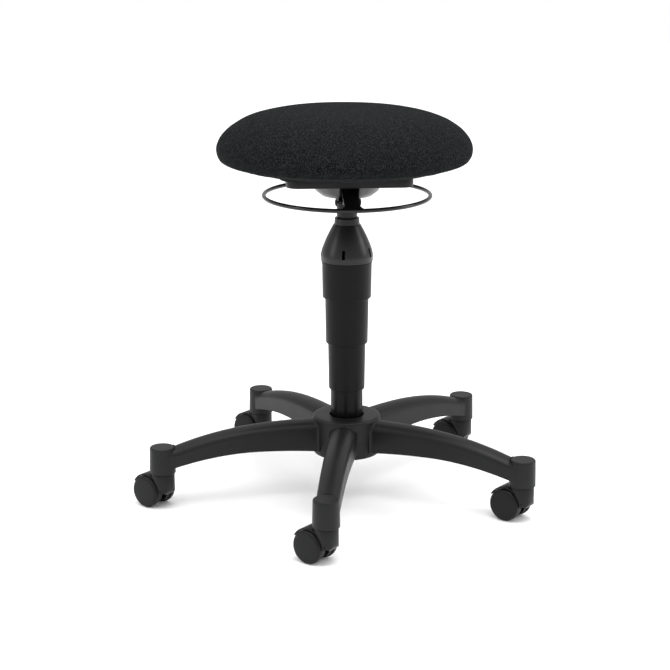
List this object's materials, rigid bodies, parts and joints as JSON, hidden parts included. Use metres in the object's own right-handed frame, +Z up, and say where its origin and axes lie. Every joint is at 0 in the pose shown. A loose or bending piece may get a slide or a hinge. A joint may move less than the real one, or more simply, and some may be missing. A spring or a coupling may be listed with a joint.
{
  "type": "swivel stool",
  "caption": "Height-adjustable swivel stool: round padded seat, ring release handle, gas lift column under telescoping covers, star base on twin-wheel castors.",
  "frame": {"origin": "on the floor, under the column's axis", "axes": "+Z up along the column, one base arm along -Y, seat raised to its highest setting at rest"},
  "size_m": [0.6249, 0.5904, 0.614],
  "materials": {
    "base_nylon": "fine satin moulding",
    "bright_steel": "zinc plated",
    "gloss_tube": "gloss black powder coat",
    "cylinder_paint": "semi gloss black",
    "guide_plastic": "natural grey",
    "cage_brass": "plain",
    "rod_chrome": "hard chrome",
    "rubber": "matte",
    "cover_plastic": "satin, fine grain",
    "bracket_paint": "satin black",
    "bowl_paint": "satin mid grey",
    "ring_paint": "gloss black",
    "plywood": "unfinished",
    "seat_fabric": "woven, black",
    "castor_nylon": "satin",
    "wheel_nylon": "satin"
  },
  "bodies": {
    "base": {"base_star": "base_nylon", "hub_sleeve": "bright_steel", "stem_sleeves": "bright_steel", "grip_rings": "bright_steel", "outer_tube": "gloss_tube", "guide_bush": "guide_plastic", "bearing_race": "bright_steel", "ball_cage": "cage_brass", "bottom_washer": "bright_steel", "castor_stem_1": "bright_steel", "castor_stem_2": "bright_steel", "castor_stem_3": "bright_steel", "castor_stem_4": "bright_steel", "castor_stem_5": "bright_steel"},
    "rod": {"piston_rod": "rod_chrome", "upper_race": "bright_steel", "retaining_clip": "bright_steel", "rubber_buffer": "rubber", "piston": "bright_steel"},
    "seat": {"gas_cylinder": "cylinder_paint", "rod_seal": "rubber", "cone_cover": "cover_plastic", "shroud_upper": "cover_plastic", "taper_socket": "bracket_paint", "bowl": "bowl_paint", "mount_plate": "bracket_paint", "plate_screws": "bright_steel", "tee_nuts": "bright_steel", "pivot_pin": "bright_steel", "pin_clips": "bright_steel", "return_spring": "bright_steel", "seat_pan": "plywood", "seat_cushion": "seat_fabric"},
    "middle_cover": {"shroud_middle": "cover_plastic"},
    "lower_cover": {"shroud_lower": "cover_plastic"},
    "lever": {"lever_yoke": "bracket_paint", "ring_handle": "ring_paint"},
    "valve": {"valve_pin": "bright_steel"},
    "castor_1": {"castor_body_1": "castor_nylon", "axle_1": "bright_steel"},
    "wheel_left_1": {"wheel_left_1": "wheel_nylon"},
    "wheel_right_1": {"wheel_right_1": "wheel_nylon"},
    "castor_2": {"castor_body_2": "castor_nylon", "axle_2": "bright_steel"},
    "wheel_left_2": {"wheel_left_2": "wheel_nylon"},
    "wheel_right_2": {"wheel_right_2": "wheel_nylon"},
    "castor_3": {"castor_body_3": "castor_nylon", "axle_3": "bright_steel"},
    "wheel_left_3": {"wheel_left_3": "wheel_nylon"},
    "wheel_right_3": {"wheel_right_3": "wheel_nylon"},
    "castor_4": {"castor_body_4": "castor_nylon", "axle_4": "bright_steel"},
    "wheel_left_4": {"wheel_left_4": "wheel_nylon"},
    "wheel_right_4": {"wheel_right_4": "wheel_nylon"},
    "castor_5": {"castor_body_5": "castor_nylon", "axle_5": "bright_steel"},
    "wheel_left_5": {"wheel_left_5": "wheel_nylon"},
    "wheel_right_5": {"wheel_right_5": "wheel_nylon"}
  },
  "joints": [
    {"name": "column_swivel", "type": "hinge", "parent": "base", "child": "rod", "pos_m": [0, 0, 0.0855], "axis": [0, 0, 1], "continuous": true},
    {"name": "seat_height", "type": "slide", "parent": "rod", "child": "seat", "axis": [0, 0, 1], "range_m": [-0.13, 0]},
    {"name": "cover_middle_slide", "type": "slide", "parent": "rod", "child": "middle_cover", "axis": [0, 0, 1], "range_m": [-0.086, 0]},
    {"name": "cover_lower_slide", "type": "slide", "parent": "rod", "child": "lower_cover", "axis": [0, 0, 1], "range_m": [-0.042, 0]},
    {"name": "ring_lift", "type": "hinge", "parent": "seat", "child": "lever", "pos_m": [0.00365, -0.02068, 0.475], "axis": [-0.9848, -0.1736, 0], "range_deg": [0, 6], "stiffness_Nm_per_rad": 1.5, "springref_deg": -11.46},
    {"name": "valve_press", "type": "slide", "parent": "seat", "child": "valve", "axis": [0, 0, -1], "range_m": [0, 0.0025]},
    {"name": "castor_swivel_1", "type": "hinge", "parent": "base", "child": "castor_1", "pos_m": [0, -0.2925, 0.05], "axis": [0, 0, 1], "continuous": true},
    {"name": "wheel_left_spin_1", "type": "hinge", "parent": "castor_1", "child": "wheel_left_1", "pos_m": [-0.01696, -0.2819, 0.025], "axis": [-0.5299, -0.848, 0], "continuous": true},
    {"name": "wheel_right_spin_1", "type": "hinge", "parent": "castor_1", "child": "wheel_right_1", "pos_m": [-0.01696, -0.2819, 0.025], "axis": [-0.5299, -0.848, 0], "continuous": true},
    {"name": "castor_swivel_2", "type": "hinge", "parent": "base", "child": "castor_2", "pos_m": [0.27818, -0.09039, 0.05], "axis": [0, 0, 1], "continuous": true},
    {"name": "wheel_left_spin_2", "type": "hinge", "parent": "castor_2", "child": "wheel_left_2", "pos_m": [0.26122, -0.07979, 0.025], "axis": [-0.5299, -0.848, 0], "continuous": true},
    {"name": "wheel_right_spin_2", "type": "hinge", "parent": "castor_2", "child": "wheel_right_2", "pos_m": [0.26122, -0.07979, 0.025], "axis": [-0.5299, -0.848, 0], "continuous": true},
    {"name": "castor_swivel_3", "type": "hinge", "parent": "base", "child": "castor_3", "pos_m": [0.17193, 0.23664, 0.05], "axis": [0, 0, 1], "continuous": true},
    {"name": "wheel_left_spin_3", "type": "hinge", "parent": "castor_3", "child": "wheel_left_3", "pos_m": [0.15497, 0.24724, 0.025], "axis": [-0.5299, -0.848, 0], "continuous": true},
    {"name": "wheel_right_spin_3", "type": "hinge", "parent": "castor_3", "child": "wheel_right_3", "pos_m": [0.15497, 0.24724, 0.025], "axis": [-0.5299, -0.848, 0], "continuous": true},
    {"name": "castor_swivel_4", "type": "hinge", "parent": "base", "child": "castor_4", "pos_m": [-0.17193, 0.23664, 0.05], "axis": [0, 0, 1], "continuous": true},
    {"name": "wheel_left_spin_4", "type": "hinge", "parent": "castor_4", "child": "wheel_left_4", "pos_m": [-0.18889, 0.24724, 0.025], "axis": [-0.5299, -0.848, 0], "continuous": true},
    {"name": "wheel_right_spin_4", "type": "hinge", "parent": "castor_4", "child": "wheel_right_4", "pos_m": [-0.18889, 0.24724, 0.025], "axis": [-0.5299, -0.848, 0], "continuous": true},
    {"name": "castor_swivel_5", "type": "hinge", "parent": "base", "child": "castor_5", "pos_m": [-0.27818, -0.09039, 0.05], "axis": [0, 0, 1], "continuous": true},
    {"name": "wheel_left_spin_5", "type": "hinge", "parent": "castor_5", "child": "wheel_left_5", "pos_m": [-0.29514, -0.07979, 0.025], "axis": [-0.5299, -0.848, 0], "continuous": true},
    {"name": "wheel_right_spin_5", "type": "hinge", "parent": "castor_5", "child": "wheel_right_5", "pos_m": [-0.29514, -0.07979, 0.025], "axis": [-0.5299, -0.848, 0], "continuous": true}
  ],
  "couplings": [
    {"joint": "cover_middle_slide", "follows": "seat_height", "ratio": 0.66},
    {"joint": "cover_lower_slide", "follows": "seat_height", "ratio": 0.32},
    {"joint": "valve_press", "follows": "ring_lift", "m_per_rad": 0.0229}
  ]
}
